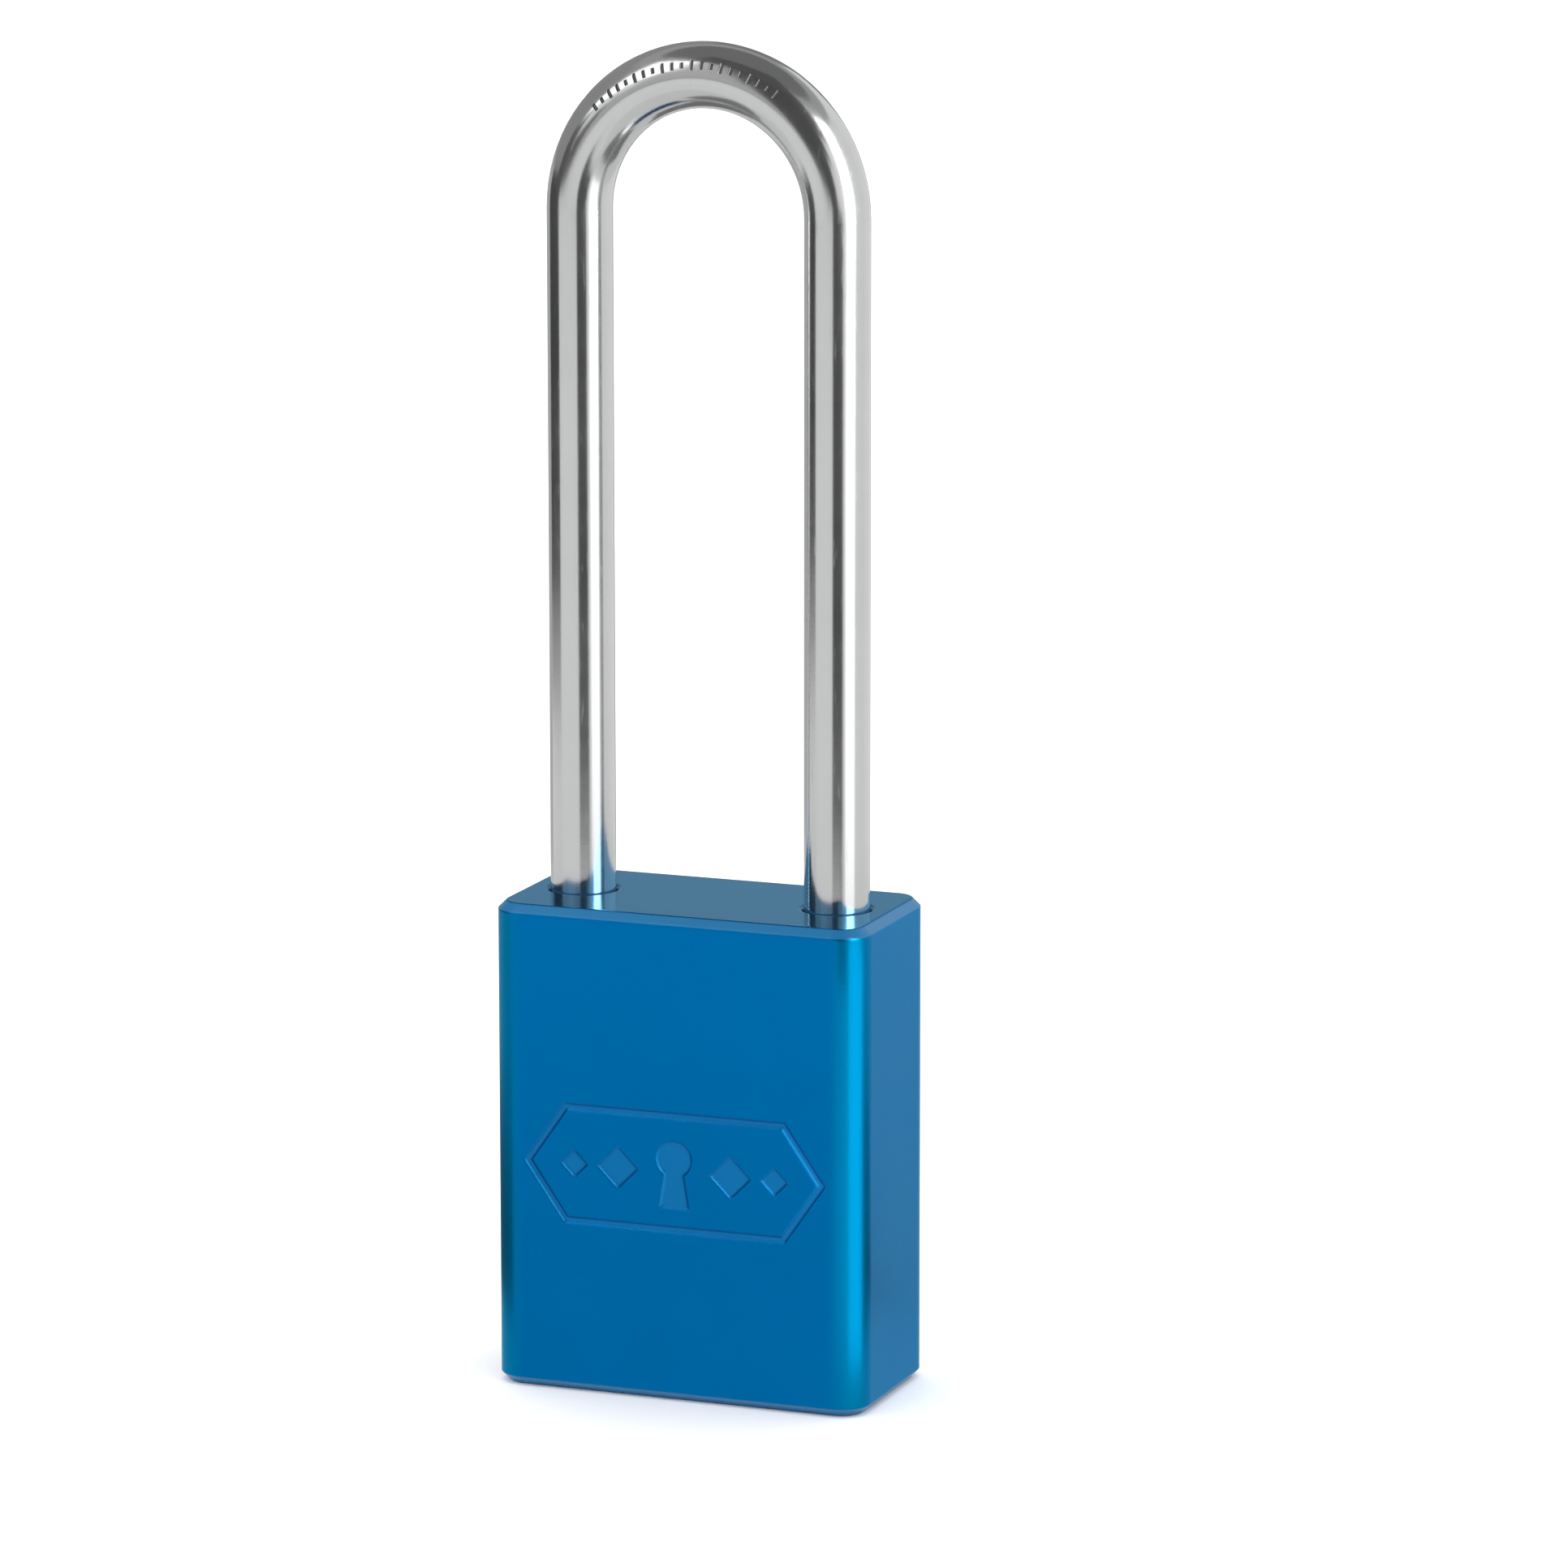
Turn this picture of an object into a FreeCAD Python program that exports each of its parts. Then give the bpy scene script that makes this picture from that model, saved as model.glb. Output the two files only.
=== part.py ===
"""Solid-case padlock with a tall steel shackle, five-pin cylinder and two locking balls.

The padlock stands on the flat bottom of its case.  The origin is the middle of that face, +Z points
up along the shackle, +X points to the shackle's toe (the leg that comes out) and -Y is the front.
It is modelled closed, with the cylinder turned to open: the balls are drawn in and the shackle is
free to lift.  Turning the plug a quarter turn back (negative about +Z) pushes the balls out again.
"""
import FreeCAD, Part
import math
import os

from FreeCAD import Vector

os.makedirs("parts", exist_ok=True)

# ---------------------------------------------------------------- driving dimensions, millimetres
CASE_WIDTH = 38.1
CASE_DEPTH = 19.05
CASE_HEIGHT = 47.6
CORNER_RADIUS = 3.0
RIM_CHAMFER = 0.8

SHACKLE_RADIUS = 6.35 / 2
SHACKLE_CLEAR_WIDTH = 19.85
SHACKLE_CLEAR_HEIGHT = 76.2
SHACKLE_LIFT = 14.5
TOE_DEPTH = 13.0
HEEL_HOLE_FLOOR = 8.0

ACTUATOR_RADIUS = 5.0
BALL_RADIUS = 6.35 / 2
BALL_HEIGHT = 40.0
TOE_BALL_TRAVEL = 1.55
HEEL_BALL_TRAVEL = 0.825

PLUG_RADIUS = 5.0
SHELL_RADIUS = 6.4
SHELL_LENGTH = 26.2
FACE_RECESS = 0.3
PIN_RADIUS = 1.45
PIN_PITCH = 3.6
FIRST_PIN_HEIGHT = 4.9
KEY_PIN_LENGTHS = (4.6, 5.6, 5.1, 6.1, 4.2)
DRIVER_LENGTH = 4.0

SLIDE_GAP = 0.15           # round the shackle's legs
RUN_GAP = 0.05             # round the plug and the balls' seats
THREAD_GAP = 0.02
ENGRAVING_DEPTH = 0.25
ENGRAVING_REACH = 0.1      # how far the cutters stand out of the face
ENGRAVING_HEIGHT = 22.6

# ---------------------------------------------------------------- sizes that follow from them
LEG_X = SHACKLE_CLEAR_WIDTH / 2 + SHACKLE_RADIUS
BOW_HEIGHT = CASE_HEIGHT + SHACKLE_CLEAR_HEIGHT + SHACKLE_RADIUS - LEG_X
TOE_END = CASE_HEIGHT - TOE_DEPTH
HEEL_GROOVE_HEIGHT = BALL_HEIGHT - SHACKLE_LIFT
HEEL_END = HEEL_GROOVE_HEIGHT - 5.0
HOLE_RADIUS = SHACKLE_RADIUS + SLIDE_GAP
TOE_HOLE_FLOOR = TOE_END - 0.8

BALL_LOCKED_X = ACTUATOR_RADIUS + BALL_RADIUS + RUN_GAP
TOE_BALL_X = BALL_LOCKED_X - TOE_BALL_TRAVEL
HEEL_BALL_X = BALL_LOCKED_X - HEEL_BALL_TRAVEL
BALL_SEAT_RADIUS = BALL_RADIUS + 0.1

SHELL_TOP = FACE_RECESS + SHELL_LENGTH
CLIP_THICKNESS = 0.7
CLIP_BASE = SHELL_TOP + 0.1
POCKET_TOP = CLIP_BASE + CLIP_THICKNESS + 0.4
ACTUATOR_BASE = POCKET_TOP + 0.2
ACTUATOR_TOP = BALL_HEIGHT + BALL_RADIUS + 0.6
LUG_LENGTH = 2.4

KEY_PIN_END = PLUG_RADIUS - 0.15
DRIVER_BASE = PLUG_RADIUS + RUN_GAP + 0.03
DRIVER_TOP = DRIVER_BASE + DRIVER_LENGTH
CHAMBER_TOP = DRIVER_TOP + 3.0
COVER_THICKNESS = 0.6
BIBLE_TOP = CHAMBER_TOP + COVER_THICKNESS + 1.5
BIBLE_HALF_WIDTH = 3.6
BIBLE_CORNER = 1.2
CHAMBER_RADIUS = PIN_RADIUS + 0.06
PIN_HEIGHTS = [FIRST_PIN_HEIGHT + PIN_PITCH * i for i in range(len(KEY_PIN_LENGTHS))]

SCREW_X = 12.0
SCREW_RADIUS = 1.5
SCREW_HEAD_RADIUS = 2.0
SCREW_HEAD_HEIGHT = 2.2
SCREW_LENGTH = 9.6
SCREW_HEAD_BASE = TOE_HOLE_FLOOR - SCREW_HEAD_HEIGHT
SCREW_TIP = SCREW_HEAD_BASE - SCREW_LENGTH

X, Y, Z = Vector(1, 0, 0), Vector(0, 1, 0), Vector(0, 0, 1)


# ---------------------------------------------------------------- helpers
def rod(radius, start, end):
    """A round bar from one point to another."""
    along = end - start
    return Part.makeCylinder(radius, along.Length, start, along)


def upright(radius, x, low, high):
    """A round bar along Z on the middle plane of the case."""
    return rod(radius, Vector(x, 0, low), Vector(x, 0, high))


def turned(profile):
    """A solid turned about Z from (radius, height) points; the first and last are on the axis."""
    points = [Vector(r, 0, h) for r, h in profile]
    return Part.Face(Part.makePolygon(points + [points[0]])).revolve(Vector(), Z, 360)


def on_x(shape, start, height):
    """Lays a solid turned about Z along +X, its base at (start, 0, height)."""
    laid = shape.copy()
    laid.rotate(Vector(), Y, 90)
    laid.translate(Vector(start, 0, height))
    return laid


def at_rest(shape):
    """Turns a piece of the plug from its locked place to its rest, a quarter turn on."""
    opened = shape.copy()
    opened.rotate(Vector(), Z, 90)
    return opened


def prism(points, low, high):
    """A flat outline in X and Y, raised from low to high."""
    corners = [Vector(x, y, low) for x, y in points]
    return Part.Face(Part.makePolygon(corners + [corners[0]])).extrude(Z * (high - low))


def fuse(first, *others):
    return first.fuse(list(others)).removeSplitter()


def upright_edges(box, height):
    """The edges of a box that run from its bottom to its top."""
    return [e for e in box.Edges if abs(e.Length - height) < 1e-6]


def level_edges(shape, height):
    """The edges that lie at one height."""
    return [e for e in shape.Edges if all(abs(v.Z - height) < 1e-6 for v in e.Vertexes)]


def spring(coil_radius, wire_radius, length, turns):
    """An open coil spring along Z that fills the given length, wire included."""
    rise = length - 2 * wire_radius
    coil = Part.makeHelix(rise / turns, rise, coil_radius)
    slope = Vector(0, 2 * math.pi * coil_radius, rise / turns)
    section = Part.Wire(Part.makeCircle(wire_radius, Vector(coil_radius, 0, 0), slope))
    wound = Part.Wire(coil).makePipeShell([section], True, True)
    wound.translate(Z * wire_radius)
    return wound


# ---------------------------------------------------------------- case
def case_block():
    """The rounded block, its top and bottom rims chamfered."""
    block = Part.makeBox(
        CASE_WIDTH, CASE_DEPTH, CASE_HEIGHT, Vector(-CASE_WIDTH / 2, -CASE_DEPTH / 2, 0)
    )
    block = block.makeFillet(CORNER_RADIUS, upright_edges(block, CASE_HEIGHT))
    return block.makeChamfer(RIM_CHAMFER, level_edges(block, 0) + level_edges(block, CASE_HEIGHT))


def shackle_holes():
    """The blind holes of the two legs, with a small lead-in at each mouth."""
    lead = 0.25
    cuts = []
    for x, floor in ((LEG_X, TOE_HOLE_FLOOR), (-LEG_X, HEEL_HOLE_FLOOR)):
        cuts.append(upright(HOLE_RADIUS, x, floor, CASE_HEIGHT + 1))
        mouth = Part.makeCone(HOLE_RADIUS, HOLE_RADIUS + lead, lead, Vector(x, 0, CASE_HEIGHT - lead), Z)
        cuts.append(mouth)
    return cuts


def cylinder_outline(gap, low, high):
    """The round shell and the straight-sided pin housing (bible) beside it."""
    half = BIBLE_HALF_WIDTH + gap
    bible = Part.makeBox(BIBLE_TOP + gap, 2 * half, high - low, Vector(0, -half, low))
    outer = [e for e in upright_edges(bible, high - low) if e.CenterOfMass.x > SHELL_RADIUS]
    bible = bible.makeFillet(BIBLE_CORNER + gap, outer)
    return fuse(upright(SHELL_RADIUS + gap, 0, low, high), bible)


def inset(outline, distance):
    """A convex outline, listed anticlockwise, with every side moved in by a distance."""
    moved = []
    for (x0, y0), (x1, y1) in zip(outline, outline[1:] + outline[:1]):
        length = math.hypot(x1 - x0, y1 - y0)
        across, up = (x1 - x0) / length, (y1 - y0) / length
        moved.append((x0 - up * distance, y0 + across * distance, across, up))
    corners = []
    for (x0, y0, a0, b0), (x1, y1, a1, b1) in zip(moved[-1:] + moved[:-1], moved):
        step = ((x1 - x0) * b1 - (y1 - y0) * a1) / (a0 * b1 - b0 * a1)
        corners.append((x0 + a0 * step, y0 + b0 * step))
    return corners


def sloped(outline, sense=1):
    """A cutter with 45 degree walls, narrowing downwards from an outline at height 0, or widening."""
    rings = []
    for height in (ENGRAVING_REACH, -ENGRAVING_DEPTH):
        corners = [Vector(x, y, height) for x, y in inset(outline, -height * sense)]
        rings.append(Part.makePolygon(corners + corners[:1]))
    return Part.makeLoft(rings, True, True)


def engraving():
    """A plain mark for the front: a long hexagon round a keyhole and four lozenges."""
    width, height, nose, line = 15.6, 6.0, 4.2, 0.8
    hexagon = [(width, 0), (width - nose, height), (nose - width, height),
               (-width, 0), (nose - width, -height), (width - nose, -height)]
    keyhole_top, keyhole_radius = 1.3, 1.9
    slot = [(-1.6, -3.6), (1.6, -3.6), (0.8, keyhole_top), (-0.8, keyhole_top)]
    eye = Part.makeCone(keyhole_radius - ENGRAVING_DEPTH, keyhole_radius + ENGRAVING_REACH,
                        ENGRAVING_DEPTH + ENGRAVING_REACH, Vector(0, keyhole_top, -ENGRAVING_DEPTH), Z)
    marks = [sloped(hexagon).cut(sloped(inset(hexagon, line), -1)), sloped(slot), eye]
    for x, size in ((-5.8, 2.2), (5.8, 2.2), (-10.3, 1.5), (10.3, 1.5)):
        marks.append(sloped([(x + size, 0), (x, size), (x - size, 0), (x, -size)]))
    for mark in marks:
        mark.rotate(Vector(), X, 90)
        mark.translate(Vector(0, -CASE_DEPTH / 2, ENGRAVING_HEIGHT))
    return marks


def case():
    channel = rod(BALL_SEAT_RADIUS + 0.05, Vector(-LEG_X, 0, BALL_HEIGHT), Vector(LEG_X, 0, BALL_HEIGHT))
    cuts = shackle_holes() + engraving() + [
        channel,
        upright(ACTUATOR_RADIUS + 0.15, 0, POCKET_TOP - 1, ACTUATOR_TOP + 0.2),
        cylinder_outline(0.1, -1, POCKET_TOP),
        upright(SCREW_RADIUS + 0.2, SCREW_X, POCKET_TOP - 1, TOE_HOLE_FLOOR),
        upright(SCREW_HEAD_RADIUS + 0.1, SCREW_X, SCREW_HEAD_BASE, TOE_HOLE_FLOOR + 0.5),
    ]
    return case_block().cut(cuts)


# ---------------------------------------------------------------- shackle and what holds it
def shackle():
    """A bent bar: a short toe leg, a long heel leg, and the ball seats milled in both."""
    section = Part.Wire(Part.makeCircle(SHACKLE_RADIUS, Vector(LEG_X, 0, BOW_HEIGHT), Z))
    bow = Part.Face(section).revolve(Vector(0, 0, BOW_HEIGHT), Y, -180)
    tip, end = 0.9, 0.4
    toe = turned([(0, 0), (SHACKLE_RADIUS - tip, 0), (SHACKLE_RADIUS, tip),
                  (SHACKLE_RADIUS, BOW_HEIGHT - TOE_END), (0, BOW_HEIGHT - TOE_END)])
    toe.translate(Vector(LEG_X, 0, TOE_END))
    heel = turned([(0, 0), (SHACKLE_RADIUS - end, 0), (SHACKLE_RADIUS, end),
                   (SHACKLE_RADIUS, BOW_HEIGHT - HEEL_END), (0, BOW_HEIGHT - HEEL_END)])
    heel.translate(Vector(-LEG_X, 0, HEEL_END))
    bar = fuse(bow, toe, heel)

    reach = SHACKLE_RADIUS + 1
    notches = []
    for x in (-BALL_LOCKED_X, BALL_LOCKED_X):
        notches.append(rod(BALL_SEAT_RADIUS, Vector(x, -reach, BALL_HEIGHT), Vector(x, reach, BALL_HEIGHT)))
    inner_face = LEG_X - SHACKLE_RADIUS
    flat_depth = HEEL_BALL_X + BALL_RADIUS + 0.1 - inner_face
    flat = Part.makeBox(
        flat_depth + 1, 2 * reach, BALL_HEIGHT - HEEL_GROOVE_HEIGHT,
        Vector(-inner_face - flat_depth, -reach, HEEL_GROOVE_HEIGHT),
    )
    groove_centre = Vector(-LEG_X, 0, HEEL_GROOVE_HEIGHT)
    groove = Part.makeTorus(LEG_X - BALL_LOCKED_X, BALL_SEAT_RADIUS, groove_centre, Z)
    return bar.cut(notches + [flat, groove] + bow_ticks())


def bow_ticks():
    """A row of plain stamped ticks, long and short, round the front of the bow and across the bar."""
    count, pitch, first = 21, 4.0, 56.0
    stamp, lengths, depth, tilt = 0.2, (1.0, 0.6, 0.8), 0.15, 22.0
    ticks = []
    for number in range(count):
        length = lengths[number % len(lengths)]
        tick = rod(stamp, Vector(0, 0, -length / 2), Vector(0, 0, length / 2))
        tick.translate(Vector(0, -(SHACKLE_RADIUS + stamp - depth), 0))
        tick.rotate(Vector(), X, -tilt)
        tick.translate(Vector(0, 0, LEG_X))
        tick.rotate(Vector(), Y, 90 - first - pitch * number)
        tick.translate(Vector(0, 0, BOW_HEIGHT))
        ticks.append(tick)
    return ticks


def shackle_spring():
    coil = spring(2.35, 0.4, HEEL_END - HEEL_HOLE_FLOOR - 0.04, 8)
    coil.translate(Vector(-LEG_X, 0, HEEL_HOLE_FLOOR + 0.02))
    return coil


def ball(x):
    return Part.makeSphere(BALL_RADIUS, Vector(x, 0, BALL_HEIGHT))


def ball_ramp(start_angle, deep, shallow):
    """The seat a ball runs up as the actuator turns: deep at the start, clear of the bar at the end."""

    def place(share):
        angle = math.radians(start_angle + 90 * share)
        radius = deep + (shallow - deep) * share
        return Vector(radius * math.cos(angle), radius * math.sin(angle), BALL_HEIGHT)

    seat = BALL_RADIUS + 0.08
    path = Part.Arc(place(0), place(0.5), place(1)).toShape()
    start = path.valueAt(path.FirstParameter)
    along = path.tangentAt(path.FirstParameter)
    sweep = Part.Wire(path).makePipeShell([Part.Wire(Part.makeCircle(seat, start, along))], True, True)
    return fuse(sweep, Part.makeSphere(seat, place(0)), Part.makeSphere(seat, place(1)))


def lug(gap, low, high):
    """One of the two half-moon lugs that join the plug and the actuator."""
    ring = Part.makeCylinder(4.1 + gap, high - low, Vector(0, 0, low), Z)
    side = Part.makeBox(10, 10, high - low, Vector(-5, 1.6 - gap, low))
    return ring.common(side)


def both_lugs(gap, low, high):
    first = lug(gap, low, high)
    second = first.copy()
    second.rotate(Vector(), Z, 180)
    return [first, second]


def actuator():
    bar = upright(ACTUATOR_RADIUS, 0, ACTUATOR_BASE, ACTUATOR_TOP)
    waist = upright(ACTUATOR_RADIUS + 1, 0, 0, 2.4).cut(upright(ACTUATOR_RADIUS - 0.5, 0, 0, 2.4))
    waist.translate(Z * (ACTUATOR_BASE + LUG_LENGTH + 0.9))
    sockets = [at_rest(s) for s in both_lugs(0.15, ACTUATOR_BASE - 1, ACTUATOR_BASE + LUG_LENGTH)]
    ramps = [
        ball_ramp(0, TOE_BALL_X, BALL_LOCKED_X),
        ball_ramp(180, HEEL_BALL_X, BALL_LOCKED_X),
    ]
    return bar.cut(sockets + ramps + [waist])


# ---------------------------------------------------------------- cylinder
def cylinder_shell():
    body = cylinder_outline(0, FACE_RECESS, SHELL_TOP)
    cuts = [
        upright(PLUG_RADIUS + RUN_GAP, 0, 0, SHELL_TOP + 1),
        upright(PLUG_RADIUS + 0.75, 0, 0, FACE_RECESS + 1.25),
        upright(SCREW_RADIUS + THREAD_GAP, SCREW_X, SCREW_TIP - 0.3, SHELL_TOP + 1),
    ]
    for height in PIN_HEIGHTS:
        cuts.append(rod(CHAMBER_RADIUS, Vector(1, 0, height), Vector(CHAMBER_TOP, 0, height)))
    cuts.append(cover_strip(0.0, BIBLE_TOP))
    return body.cut(cuts)


def cover_strip(gap, top):
    """The strip over the pin chambers, or with a higher top the slot that it goes into."""
    half = 1.9
    low = PIN_HEIGHTS[0] - CHAMBER_RADIUS - 0.5
    high = PIN_HEIGHTS[-1] + CHAMBER_RADIUS + 0.4
    return Part.makeBox(
        top - CHAMBER_TOP, 2 * (half - gap), high - low - 2 * gap,
        Vector(CHAMBER_TOP, gap - half, low + gap),
    )


def keyway():
    """The warded key slot, open at the side of the plug away from the pins."""
    outline = [
        (-6.0, -0.55), (-3.6, -0.55), (-3.6, -1.15), (-1.9, -1.15), (-1.9, -0.2), (-0.3, -0.2),
        (-0.3, -1.15), (1.5, -1.15), (1.5, -0.45), (3.3, -0.45), (3.3, 0.75), (0.5, 0.75),
        (0.5, 0.15), (-0.9, 0.15), (-0.9, 1.1), (-2.8, 1.1), (-2.8, 0.55), (-6.0, 0.55),
    ]
    return prism(outline, -1, SHELL_TOP + LUG_LENGTH + 3)


def plug():
    """The turning core: a flange at the face, five pin chambers, a clip groove and two lugs."""
    top = POCKET_TOP
    bar = fuse(
        upright(PLUG_RADIUS, 0, FACE_RECESS, top),
        upright(PLUG_RADIUS + 0.7, 0, FACE_RECESS, FACE_RECESS + 1.2),
        *both_lugs(0, top, top + LUG_LENGTH),
    )
    groove = upright(PLUG_RADIUS + 1, 0, CLIP_BASE - 0.05, CLIP_BASE + CLIP_THICKNESS + 0.05)
    groove = groove.cut(upright(PLUG_RADIUS - 0.7, 0, 0, top))
    dish = Part.makeCone(3.6, 3.0, 0.3, Vector(0, 0, FACE_RECESS), Z)
    chambers = [rod(CHAMBER_RADIUS, Vector(-1.5, 0, h), Vector(PLUG_RADIUS + 1, 0, h)) for h in PIN_HEIGHTS]
    return at_rest(bar.cut([groove, dish, keyway()] + chambers))


def plug_clip():
    """A spring-steel C clip in the plug's groove, behind the shell."""
    ring = upright(PLUG_RADIUS + 0.9, 0, CLIP_BASE, CLIP_BASE + CLIP_THICKNESS)
    ring = ring.cut(upright(PLUG_RADIUS - 0.65, 0, CLIP_BASE - 1, CLIP_BASE + 2))
    return ring.cut(prism([(0, 0), (-8, -3.4), (-8, 3.4)], CLIP_BASE - 1, CLIP_BASE + 2))


def chamber_cover():
    return cover_strip(0.02, CHAMBER_TOP + COVER_THICKNESS)


def key_pin(length):
    """A bottom pin: a blunt point towards the key and a slightly crowned top at the shear line."""
    point, crown = 1.0, 0.2
    return turned([(0, 0), (0.5, 0), (PIN_RADIUS, point), (PIN_RADIUS, length - crown),
                   (PIN_RADIUS - 0.3, length), (0, length)])


def driver_pin():
    """A spool driver: full at both ends and waisted between them."""
    edge, waist = 0.8, PIN_RADIUS - 0.4
    return turned([(0, 0), (PIN_RADIUS - 0.1, 0), (PIN_RADIUS, 0.1), (PIN_RADIUS, edge),
                   (waist, edge + 0.3), (waist, DRIVER_LENGTH - edge - 0.3),
                   (PIN_RADIUS, DRIVER_LENGTH - edge),
                   (PIN_RADIUS, DRIVER_LENGTH), (0, DRIVER_LENGTH)])


def cylinder_screw():
    """The cap screw, driven down the open toe hole, that holds the cylinder in the case."""
    head = upright(SCREW_HEAD_RADIUS, SCREW_X, SCREW_HEAD_BASE, TOE_HOLE_FLOOR)
    shank = upright(SCREW_RADIUS, SCREW_X, SCREW_TIP, SCREW_HEAD_BASE)
    across = 1.15
    corners = [
        (SCREW_X + across * math.cos(math.radians(60 * i)), across * math.sin(math.radians(60 * i)))
        for i in range(6)
    ]
    return fuse(head, shank).cut(prism(corners, TOE_HOLE_FLOOR - 1.3, TOE_HOLE_FLOOR + 1))


# ---------------------------------------------------------------- the pieces, one file each
def pin_stacks():
    """The five pin stacks: key pins in the plug, drivers and their springs in the shell."""
    made = {}
    for number, (height, length) in enumerate(zip(PIN_HEIGHTS, KEY_PIN_LENGTHS), 1):
        made[f"key_pin_{number}"] = at_rest(on_x(key_pin(length), KEY_PIN_END - length, height))
        made[f"driver_pin_{number}"] = on_x(driver_pin(), DRIVER_BASE, height)
        coil = spring(1.1, 0.15, CHAMBER_TOP - DRIVER_TOP - 0.04, 5)
        made[f"pin_spring_{number}"] = on_x(coil, DRIVER_TOP + 0.02, height)
    return made


PIECES = {
    "case": case(),
    "shackle": shackle(),
    "shackle_spring": shackle_spring(),
    "toe_ball": ball(TOE_BALL_X),
    "heel_ball": ball(-HEEL_BALL_X),
    "actuator": actuator(),
    "cylinder_shell": cylinder_shell(),
    "plug": plug(),
    "plug_clip": at_rest(plug_clip()),
    "chamber_cover": chamber_cover(),
    "cylinder_screw": cylinder_screw(),
    **pin_stacks(),
}

for name, shape in PIECES.items():
    solids = shape.Solids
    print(f"{name}: {len(solids)} solid, valid {shape.isValid()}, {shape.Volume:.2f} mm3")
    solids[0].exportStep(f"parts/{name}.step")
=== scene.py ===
import math

import bpy
from mathutils import Matrix, Vector


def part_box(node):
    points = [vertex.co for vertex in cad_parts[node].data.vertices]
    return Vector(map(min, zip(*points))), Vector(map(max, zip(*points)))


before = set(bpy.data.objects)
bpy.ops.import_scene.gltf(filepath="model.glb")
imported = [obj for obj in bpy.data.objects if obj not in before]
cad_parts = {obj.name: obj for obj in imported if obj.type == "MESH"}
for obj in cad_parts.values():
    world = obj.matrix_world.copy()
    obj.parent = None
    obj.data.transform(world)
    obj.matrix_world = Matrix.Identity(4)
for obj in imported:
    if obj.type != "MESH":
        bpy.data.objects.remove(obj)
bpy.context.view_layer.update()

MM = 0.001

# ---------------------------------------------------------------- camera and studio
# Where the camera stands round the lock, and how its aim is turned off the lock's middle.  Angles are
# in radians and distances in metres, and the sensor and lens are in millimetres.
VIEW_AZIMUTH = math.radians(21.56)
VIEW_ELEVATION = math.radians(10.99)
VIEW_ROLL = math.radians(-0.13)
VIEW_DISTANCE = 0.7641
AIM_YAW = 0.00938
AIM_PITCH = -0.00796
AIM_HEIGHT = 0.065
SENSOR = 36.0
LENS = 183.2

# The floor lies a hair below the lock's flat bottom, so that the two faces don't coincide.
FLOOR_SIZE = 12.0
FLOOR_DROP = 0.1 * MM
SKY_STRENGTH = 1.5

# A light tent stands round the lock, and only glossy surfaces see it.  Each wall and card has a name,
# its turn from the camera's side and its rise, both in degrees, and its strength.  The cards and
# lights hang inside the walls, each in front of the one before.
TENT_RADIUS = 0.25
TENT_STEP = 5.0
CARD_GAP = 1.5 * MM
TENT_WALLS = (
    ("tent_front", (-130, 105), (-30, 50), 0.86),
    ("tent_side", (105, 155), (-30, 50), 0.90),
    ("tent_back", (155, 230), (-30, 20), 0.50),
    ("tent_back_high", (155, 230), (20, 50), 0.25),
    ("tent_shoulder", (-180, 180), (50, 62), 0.42),
    ("tent_crown", (-180, 180), (62, 90), 0.20),
)
TENT_CARDS = (
    ("camera_gap", (-14, 20), (-30, 8), 0.08),
    ("left_card", (-128, -80), (-7, 14), 0.07),
    ("left_card_foot", (-128, -80), (-10, -7), 0.40),
    ("left_card_high", (-180, -88), (14, 52), 0.32),
    ("left_shade", (-96, -28), (8, 27), 0.10),
    ("left_middle", (-56, -34), (10, 50), 0.55),
    ("left_light", (-86, -50), (29, 58), 1.8),
    ("left_light_foot", (-76, -52), (20, 29), 0.9),
    ("shoulder_card", (-34, 6), (8, 60), 0.08),
    ("shoulder_card_right", (6, 16), (26, 60), 0.08),
    ("shoulder_card_corner", (16, 27), (38, 60), 0.10),
    ("crown_card", (-60, 24), (58, 74), 0.10),
    ("right_light_low", (29, 62), (-30, 2), 1.7),
    ("right_light", (35, 60), (2, 50), 8.0),
)
# Panels lying on the floor: the same values, and then the height that each lies at.
FLOOR_PANELS = (
    ("tent_floor", (-180, 180), (-89.8, -14.9), 0.74, 0.4 * MM),
    ("tent_floor_far", (-75, 10), (-58.0, -20.0), 0.84, 0.6 * MM),
    ("floor_card_right", (25, 112), (-79.6, -58.7), 0.20, 0.8 * MM),
    ("floor_card_back", (158, 285), (-79.6, -58.7), 0.20, 0.8 * MM),
)
# Curved strips standing close to the case's front corner: name, turn, lowest and highest point, strength.
STRIP_RADIUS = 34 * MM
STRIP_STEPS = 6
CORNER_STRIPS = (
    ("corner_light", (33, 60), (1 * MM, 43 * MM), 1.8),
    ("corner_fill", (4, 35), (1 * MM, 40 * MM), 0.95),
)

# ---------------------------------------------------------------- colours
CASE_BLUES = (0.0, 0.160, 0.445), (0.0, 0.177, 0.478)
# A painted highlight: a paler, greener blue laid on the case's upright corners, where light catches them.
CORNER_HIGHLIGHT_BLUE = (0.0, 0.210, 0.44)
ENGRAVED_BLUE = (0.02, 0.25, 0.58)
RIM_BLUE = (0.006, 0.125, 0.30)
WORN_BLUE = (0.10, 0.30, 0.60)
BLUE_SHEEN = (0.64, 0.93, 1.0, 1.0)
SHACKLE_GREYS = (0.60, 0.605, 0.61), (0.67, 0.672, 0.675)
TICK_GREY = (0.07, 0.07, 0.07)
BRASSES = (0.50, 0.33, 0.11), (0.74, 0.55, 0.24)
PLUG_BRASSES = (0.56, 0.39, 0.15), (0.80, 0.62, 0.30)
BRASS_EDGE = (0.88, 0.75, 0.45)
STEELS = (0.34, 0.34, 0.35), (0.56, 0.56, 0.57)
BALL_STEELS = (0.52, 0.52, 0.53), (0.64, 0.64, 0.65)
SCREW_BLACKS = (0.03, 0.03, 0.032), (0.09, 0.09, 0.095)
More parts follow.
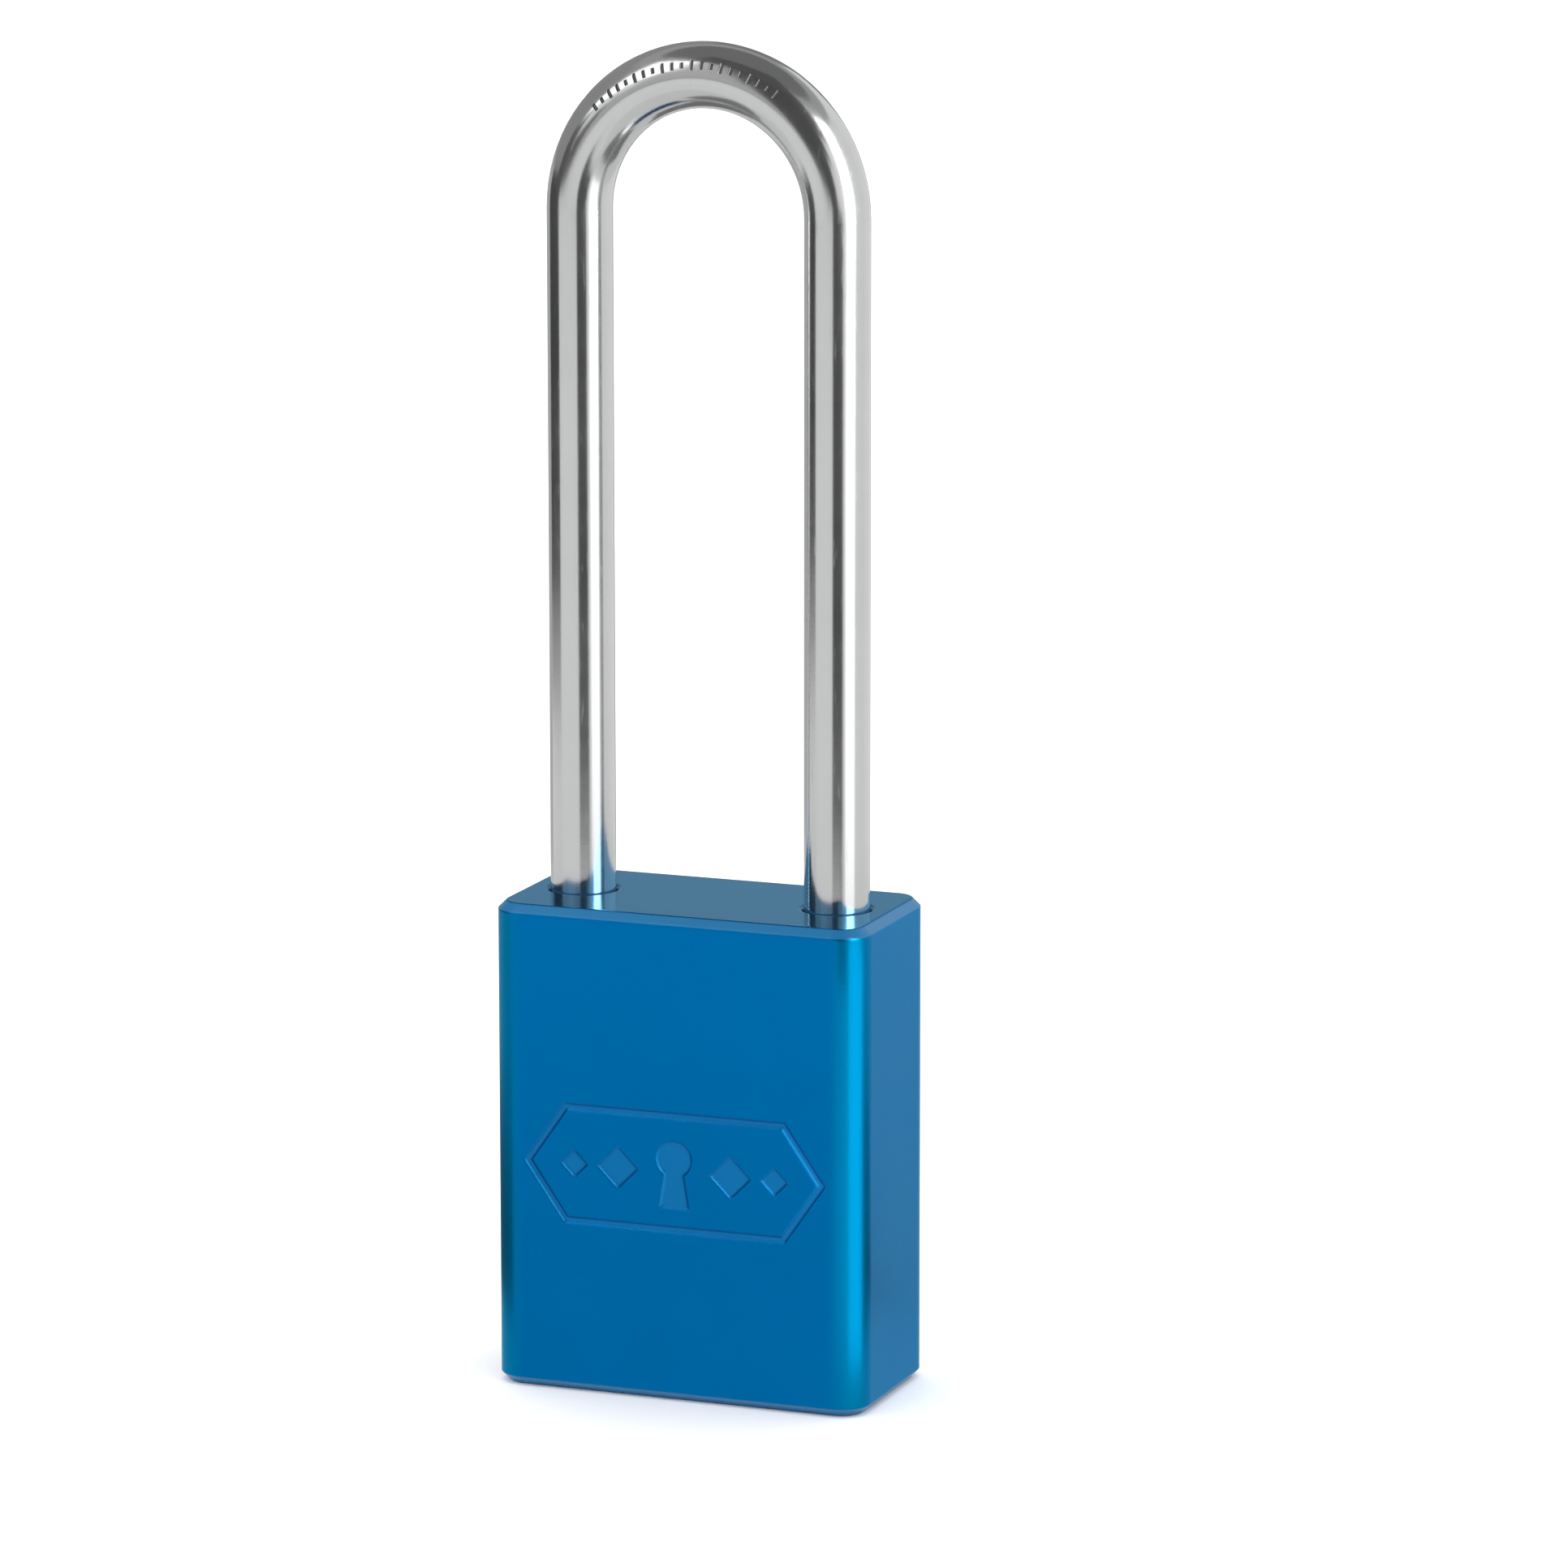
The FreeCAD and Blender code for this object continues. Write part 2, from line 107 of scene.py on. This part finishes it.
NICKELS = (0.50, 0.48, 0.42), (0.68, 0.66, 0.58)
PAPER_WHITES = (0.93, 0.93, 0.93), (0.95, 0.95, 0.95)


# ---------------------------------------------------------------- node helpers
class Nodes:
    """Short calls for building one material's node tree.  Noise scales are in cycles per metre."""

    def __init__(self, name):
        self.material = bpy.data.materials.new(name)
        self.material.use_nodes = True
        self.tree = self.material.node_tree
        self.tree.nodes.clear()
        self.output = self.add("ShaderNodeOutputMaterial")

    def add(self, kind, **settings):
        node = self.tree.nodes.new(kind)
        for key, value in settings.items():
            setattr(node, key, value)
        return node

    def join(self, source, target):
        self.tree.links.new(source, target)

    def feed(self, socket, value):
        """Links a node's output to the socket, or sets a number or an RGB colour on it."""
        if isinstance(value, bpy.types.NodeSocket):
            self.join(value, socket)
        elif isinstance(value, tuple):
            socket.default_value = (*value, 1.0)
        else:
            socket.default_value = value

    def math(self, operation, first, second=0.0, third=None):
        node = self.add("ShaderNodeMath", operation=operation)
        self.feed(node.inputs[0], first)
        self.feed(node.inputs[1], second)
        if third is not None:
            self.feed(node.inputs[2], third)
        return node.outputs[0]

    def position(self):
        """The point's place in the lock's own frame, in metres."""
        return self.add("ShaderNodeTexCoord").outputs["Object"]

    def parts(self, vector):
        node = self.add("ShaderNodeSeparateXYZ")
        self.join(vector, node.inputs[0])
        return node.outputs

    def all_of(self, *masks):
        product = masks[0]
        for mask in masks[1:]:
            product = self.math("MULTIPLY", product, mask)
        return product

    def absolute(self, value):
        return self.math("ABSOLUTE", value)

    def length(self, first, second):
        """The length of a vector with these two parts."""
        first_squared = self.math("MULTIPLY", first, first)
        second_squared = self.math("MULTIPLY", second, second)
        return self.math("SQRT", self.math("ADD", first_squared, second_squared))

    def spread(self, value, low, high, out_low=0.0, out_high=1.0):
        """Maps low to out_low and high to out_high, and holds those beyond them."""
        node = self.add("ShaderNodeMapRange")
        self.join(value, node.inputs["Value"])
        ends = ("From Min", low), ("From Max", high), ("To Min", out_low), ("To Max", out_high)
        for name, number in ends:
            node.inputs[name].default_value = number
        return node.outputs["Result"]

    def vary(self, noise, low, high):
        """A value from low to high that follows the noise, which seldom leaves 0.3 to 0.7."""
        return self.spread(noise, 0.3, 0.7, low, high)

    def between(self, value, low, high, soft):
        """A mask that is 1 from low to high and fades to 0 within soft outside them."""
        rise = self.spread(value, low - soft, low)
        fall = self.spread(value, high, high + soft, 1.0, 0.0)
        return self.all_of(rise, fall)

    def scaled(self, vector, scale):
        node = self.add("ShaderNodeMapping")
        self.join(vector, node.inputs["Vector"])
        node.inputs["Scale"].default_value = scale
        return node.outputs["Vector"]

    def noise(self, vector, scale, detail):
        node = self.add("ShaderNodeTexNoise")
        self.join(vector, node.inputs["Vector"])
        node.inputs["Scale"].default_value = scale
        node.inputs["Detail"].default_value = detail
        node.inputs["Roughness"].default_value = 0.55
        return node.outputs["Fac"]

    def turned_rings(self, vector, scale, distortion, **settings):
        """The fine rings that a lathe leaves."""
        node = self.add("ShaderNodeTexWave", **settings)
        self.join(vector, node.inputs["Vector"])
        node.inputs["Scale"].default_value = scale
        node.inputs["Distortion"].default_value = distortion
        node.inputs["Detail"].default_value = 2.0
        return node.outputs["Fac"]

    def blend(self, share, first, second):
        node = self.add("ShaderNodeMix", data_type="RGBA")
        self.feed(node.inputs["Factor"], share)
        self.feed(node.inputs["A"], first)
        self.feed(node.inputs["B"], second)
        return node.outputs["Result"]

    def patches(self, noise, colours):
        """The second colour, with patches of the first where the noise is high."""
        dark, light = colours
        return self.blend(self.spread(noise, 0.35, 0.7), light, dark)

    def bump(self, height, distance, strength, normal=None):
        node = self.add("ShaderNodeBump")
        node.inputs["Strength"].default_value = strength
        node.inputs["Distance"].default_value = distance
        self.join(height, node.inputs["Height"])
        if normal is not None:
            self.join(normal, node.inputs["Normal"])
        return node.outputs["Normal"]

    def rounded(self, radius, samples):
        """Surface normals that roll over the edges, as if each had this radius."""
        node = self.add("ShaderNodeBevel", samples=samples)
        node.inputs["Radius"].default_value = radius
        return node.outputs["Normal"]

    def edges(self, radius, sharp, flat):
        """A mask that is 1 on edges and 0 on flats.

        Sharp and flat are the cosines, between the rounded normal and the real one, that count as each.
        """
        dot = self.add("ShaderNodeVectorMath", operation="DOT_PRODUCT")
        self.join(self.rounded(radius, 6), dot.inputs[0])
        self.join(self.add("ShaderNodeNewGeometry").outputs["Normal"], dot.inputs[1])
        return self.spread(dot.outputs["Value"], flat, sharp)

    def metal(self, colour, roughness, normal, metallic=1.0, **constants):
        """The finished surface.  The constants go on the shader's own sockets."""
        shader = self.add("ShaderNodeBsdfPrincipled")
        self.feed(shader.inputs["Metallic"], metallic)
        self.feed(shader.inputs["Base Color"], colour)
        self.feed(shader.inputs["Roughness"], roughness)
        self.join(normal, shader.inputs["Normal"])
        for name, value in constants.items():
            shader.inputs[name.replace("_", " ")].default_value = value
        self.join(shader.outputs["BSDF"], self.output.inputs["Surface"])
        return self.material


# ---------------------------------------------------------------- the case's and shackle's masks
def corner_highlight_mask(n, x, y):
    """1 on the case's four upright corners, fading out onto its faces, where a highlight is painted."""
    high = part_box("case")[1]
    fade, full = 3.4 * MM, 1.6 * MM
    across = n.spread(n.absolute(x), high.x - fade, high.x - full)
    along = n.spread(n.absolute(y), high.y - fade, high.y - full)
    return n.all_of(across, along)


def engraved(n, x, y, z):
    """1 on what lies below the case's front face, inside its corners and rims."""
    low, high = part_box("case")
    side, rim = 15.9 * MM, 1.6 * MM
    return n.all_of(
        n.between(n.math("SUBTRACT", y, low.y), 0.08 * MM, 0.5 * MM, 0.06 * MM),
        n.between(x, -side, side, 0.1 * MM),
        n.between(z, rim, high.z - rim, 0.1 * MM),
    )


def rims_and_ends(n, z):
    """Two masks: the case's top and bottom rims, and the faced ends within them."""
    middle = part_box("case")[1].z / 2
    from_middle = n.absolute(n.math("SUBTRACT", z, middle))
    rims = n.between(from_middle, middle - 0.75 * MM, middle - 0.1 * MM, 0.08 * MM)
    ends = n.spread(from_middle, middle - 0.04 * MM, middle - 0.02 * MM)
    return rims, ends


def stamped_ticks(n, place):
    """1 below the bar's skin on the bow, which is where the ticks are stamped."""
    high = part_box("shackle")[1]
    bar, reach = high.y, high.x
    x, y, z = n.parts(place)
    above = n.math("SUBTRACT", z, high.z - reach)
    off_line = n.math("SUBTRACT", n.length(x, above), reach - bar)
    depth = n.math("SUBTRACT", bar, n.length(off_line, y))
    return n.all_of(n.spread(depth, 0.025 * MM, 0.07 * MM), n.spread(above, MM, 2 * MM))


# ---------------------------------------------------------------- materials
def anodised_case():
    """Satin blue anodising over finely brushed aluminium.

    The upright corners carry a painted highlight in a paler blue, the rims are matt, the ends
    faced smoother, and the engraving is paler and rougher.  Sharp edges are worn in places.
    """
    n = Nodes("anodised_blue")
    place = n.position()
    x, y, z = n.parts(place)
    grain = n.noise(n.scaled(place, (1.0, 1.0, 0.03)), 9000.0, 3.0)
    cloud = n.noise(place, 90.0, 3.0)
    fine = n.noise(place, 5200.0, 2.0)
    mark = engraved(n, x, y, z)
    rims, ends = rims_and_ends(n, z)

    tone = n.blend(cloud, *CASE_BLUES)
    # Painted highlight: the upright corners are blended towards a paler, greener blue.
    tone = n.blend(corner_highlight_mask(n, x, y), tone, CORNER_HIGHLIGHT_BLUE)
    tone = n.blend(n.math("MULTIPLY", mark, 0.45), tone, ENGRAVED_BLUE)
    tone = n.blend(rims, tone, RIM_BLUE)
    patchy = n.spread(n.noise(place, 700.0, 5.0), 0.42, 0.75, 0.0, 0.30)
    worn = n.math("MULTIPLY", n.edges(0.4 * MM, 0.80, 0.985), patchy)
    tone = n.blend(worn, tone, WORN_BLUE)

    rough = n.math("ADD", n.vary(cloud, 0.27, 0.33), n.vary(fine, -0.02, 0.02))
    rough = n.math("MULTIPLY_ADD", ends, -0.15, rough)
    rough = n.math("MULTIPLY_ADD", mark, 0.12, rough)
    brushed = n.bump(grain, 0.01 * MM, 0.4, n.rounded(0.4 * MM, 8))
    normal = n.bump(fine, 0.006 * MM, 0.35, brushed)
    metallic = n.math("MULTIPLY_ADD", rims, -0.85, 1.0)
    return n.metal(tone, rough, normal, metallic, Specular_Tint=BLUE_SHEEN)


def polished_shackle():
    """Bright polished steel with faint polishing lines round the bar and a little haze."""
    n = Nodes("polished_steel")
    place = n.position()
    lines = n.noise(n.scaled(place, (0.25, 0.25, 6.0)), 1500.0, 3.0)
    haze = n.noise(place, 160.0, 4.0)
    scratch = n.noise(n.scaled(place, (5.0, 5.0, 0.4)), 900.0, 2.0)
    stamped = stamped_ticks(n, place)
    tone = n.blend(haze, *SHACKLE_GREYS)
    tone = n.blend(n.math("MULTIPLY", stamped, 0.85), tone, TICK_GREY)
    rough = n.math("ADD", n.vary(haze, 0.14, 0.18), n.spread(scratch, 0.62, 0.75, 0.0, 0.10))
    rough = n.math("MULTIPLY_ADD", stamped, 0.3, rough)
    return n.metal(tone, rough, n.bump(lines, 0.004 * MM, 0.25))


def turned_metal(name, colours, roughness, axis, pitch):
    """Metal turned on a lathe: fine rings round its own axis, with a little tarnish."""
    n = Nodes(name)
    place = n.position()
    rings = n.turned_rings(place, 1.0 / pitch, 1.5, wave_type="BANDS", bands_direction=axis)
    tarnish = n.noise(place, 420.0, 5.0)
    colour = n.patches(tarnish, colours)
    rough = n.vary(tarnish, roughness, roughness + 0.14)
    return n.metal(colour, rough, n.bump(rings, 0.008 * MM, 0.4))


def faced_brass(name, colours, roughness):
    """Brass faced on a lathe: rings about the plug's axis, soft tarnish and brighter edges."""
    n = Nodes(name)
    place = n.position()
    rings = n.turned_rings(place, 900.0, 0.6, wave_type="RINGS", rings_direction="Z")
    tarnish = n.noise(place, 260.0, 6.0)
    colour = n.patches(tarnish, colours)
    colour = n.blend(n.math("MULTIPLY", n.edges(0.2 * MM, 0.8, 0.98), 0.5), colour, BRASS_EDGE)
    rough = n.vary(tarnish, roughness, roughness + 0.15)
    return n.metal(colour, rough, n.bump(rings, 0.01 * MM, 0.5))


def drawn_metal(name, colours, roughness, scale):
    """Drawn or ground metal: streaks of tone and roughness, and a fine grain."""
    n = Nodes(name)
    place = n.position()
    streak = n.noise(n.scaled(place, (1.0, 1.0, 4.0)), scale, 4.0)
    fine = n.noise(place, scale * 7.0, 2.0)
    colour = n.patches(streak, colours)
    rough = n.vary(streak, roughness, roughness + 0.12)
    return n.metal(colour, rough, n.bump(fine, 0.005 * MM, 0.3))


def paper():
    """Matt white paper, very slightly uneven."""
    n = Nodes("paper")
    shader = n.add("ShaderNodeBsdfDiffuse")
    n.join(n.blend(n.noise(n.position(), 40.0, 4.0), *PAPER_WHITES), shader.inputs["Color"])
    n.join(shader.outputs[0], n.output.inputs["Surface"])
    return n.material


def glow(name, strength):
    """A studio light panel."""
    n = Nodes(name)
    emission = n.add("ShaderNodeEmission")
    emission.inputs["Color"].default_value = (1.0, 1.0, 1.0, 1.0)
    emission.inputs["Strength"].default_value = strength
    n.join(emission.outputs[0], n.output.inputs["Surface"])
    return n.material


def dress():
    """Gives every CAD node its finish."""
    wire = drawn_metal("spring_wire", STEELS, 0.22, 900.0)
    ball = drawn_metal("ball_steel", BALL_STEELS, 0.06, 500.0)
    finishes = {
        "case": anodised_case(),
        "shackle": polished_shackle(),
        "shackle_spring": wire,
        "plug_clip": wire,
        "toe_ball": ball,
        "heel_ball": ball,
        "actuator": turned_metal("actuator_steel", STEELS, 0.24, "Z", 0.4 * MM),
        "cylinder_shell": faced_brass("shell_brass", BRASSES, 0.28),
        "plug": faced_brass("plug_brass", PLUG_BRASSES, 0.22),
        "chamber_cover": drawn_metal("cover_brass", BRASSES, 0.30, 1200.0),
        "cylinder_screw": drawn_metal("screw_black", SCREW_BLACKS, 0.38, 1500.0),
    }
    key_pin = turned_metal("key_pin_brass", BRASSES, 0.2, "Y", 0.2 * MM)
    driver = turned_metal("driver_nickel", NICKELS, 0.2, "X", 0.2 * MM)
    for number in range(1, 6):
        finishes[f"key_pin_{number}"] = key_pin
        finishes[f"driver_pin_{number}"] = driver
        finishes[f"pin_spring_{number}"] = wire
    for name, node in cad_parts.items():
        node.data.materials.clear()
        node.data.materials.append(finishes[name])


# ---------------------------------------------------------------- studio
def put(name, points, faces, material):
    """Adds a mesh that isn't part of the lock."""
    mesh = bpy.data.meshes.new(name)
    mesh.from_pydata(points, [], faces)
    mesh.materials.append(material)
    piece = bpy.data.objects.new(name, mesh)
    bpy.context.scene.collection.objects.link(piece)
    return piece


def put_panel(name, points, faces, strength):
    """Adds a glowing panel that shows only in glossy surfaces."""
    piece = put(name, points, faces, glow(name, strength))
    piece.visible_camera = False
    piece.visible_diffuse = False
    piece.visible_transmission = False
    piece.visible_volume_scatter = False
    piece.visible_shadow = False


def steps(ends, count):
    """Evenly spaced values from one end to the other, both included."""
    return [ends[0] + (ends[1] - ends[0]) * i / count for i in range(count + 1)]


def around(radius, degrees):
    """The point at this radius and turn from the camera's side, seen from above."""
    side = VIEW_AZIMUTH + math.radians(degrees)
    return radius * math.sin(side), -radius * math.cos(side)


def dome_panel(name, radius, turn, rise, strength, level=None):
    """Part of a dome round the lock, between two turns and two rises.

    With a level it lies flat at that height.
    """
    across = max(2, int(abs(turn[1] - turn[0]) / TENT_STEP))
    upward = max(2, int(abs(rise[1] - rise[0]) / TENT_STEP))
    points, faces = [], []
    for up in (math.radians(degrees) for degrees in steps(rise, upward)):
        height = AIM_HEIGHT + radius * math.sin(up) if level is None else level
        points += [(*around(radius * math.cos(up), degrees), height) for degrees in steps(turn, across)]
    row = across + 1
    for low in (j * row + i for j in range(upward) for i in range(across)):
        faces.append((low, low + 1, low + row + 1, low + row))
    put_panel(name, points, faces, strength)


def corner_strip(name, turn, heights, strength):
    """A curved strip standing close to the case between two turns and two heights."""
    points = []
    for x, y in (around(STRIP_RADIUS, degrees) for degrees in steps(turn, STRIP_STEPS)):
        points += [(x, y, height) for height in heights]
    faces = [(2 * i, 2 * i + 2, 2 * i + 3, 2 * i + 1) for i in range(STRIP_STEPS)]
    put_panel(name, points, faces, strength)


def studio():
    """A white floor, an even sky and the light tent."""
    half = FLOOR_SIZE / 2
    corners = [(x, y, -FLOOR_DROP) for x, y in ((-half, -half), (half, -half), (half, half), (-half, half))]
    put("floor", corners, [(0, 1, 2, 3)], paper())

    world = bpy.data.worlds.new("studio")
    bpy.context.scene.world = world
    world.use_nodes = True
    sky = world.node_tree.nodes["Background"]
    sky.inputs["Color"].default_value = (1.0, 1.0, 1.0, 1.0)
    sky.inputs["Strength"].default_value = SKY_STRENGTH

    for name, turn, rise, strength, level in FLOOR_PANELS:
        dome_panel(name, TENT_RADIUS, turn, rise, strength, level)
    for name, turn, rise, strength in TENT_WALLS:
        dome_panel(name, TENT_RADIUS, turn, rise, strength)
    for layer, (name, turn, rise, strength) in enumerate(TENT_CARDS, start=1):
        dome_panel(name, TENT_RADIUS - layer * CARD_GAP, turn, rise, strength)
    for strip in CORNER_STRIPS:
        corner_strip(*strip)


def turned(first, second, angle):
    """Turns two unit vectors together by the angle, the first towards the second."""
    cosine, sine = math.cos(angle), math.sin(angle)
    return cosine * first + sine * second, cosine * second - sine * first


def camera():
    """A long lens a little above the lock, looking at its middle from the front right."""
    level = Vector((math.cos(VIEW_AZIMUTH), math.sin(VIEW_AZIMUTH), 0))
    to_camera = Vector((math.sin(VIEW_AZIMUTH), -math.cos(VIEW_AZIMUTH), 0))
    back = math.cos(VIEW_ELEVATION) * to_camera + math.sin(VIEW_ELEVATION) * Vector((0, 0, 1))
    right, up = turned(level, level.cross(-back), VIEW_ROLL)
    forward, right = turned(-back, right, AIM_YAW)
    forward, up = turned(forward, up, AIM_PITCH)
    data = bpy.data.cameras.new("camera")
    data.sensor_width = SENSOR
    data.lens = LENS
    data.clip_start, data.clip_end = 0.01, 50.0
    body = bpy.data.objects.new("camera", data)
    bpy.context.scene.collection.objects.link(body)
    turn = Matrix((right, up, -forward)).transposed().to_4x4()
    body.matrix_world = Matrix.Translation(Vector((0, 0, AIM_HEIGHT)) + back * VIEW_DISTANCE) @ turn
    bpy.context.scene.camera = body


dress()
studio()
camera()
bpy.context.scene.view_settings.view_transform = "Standard"
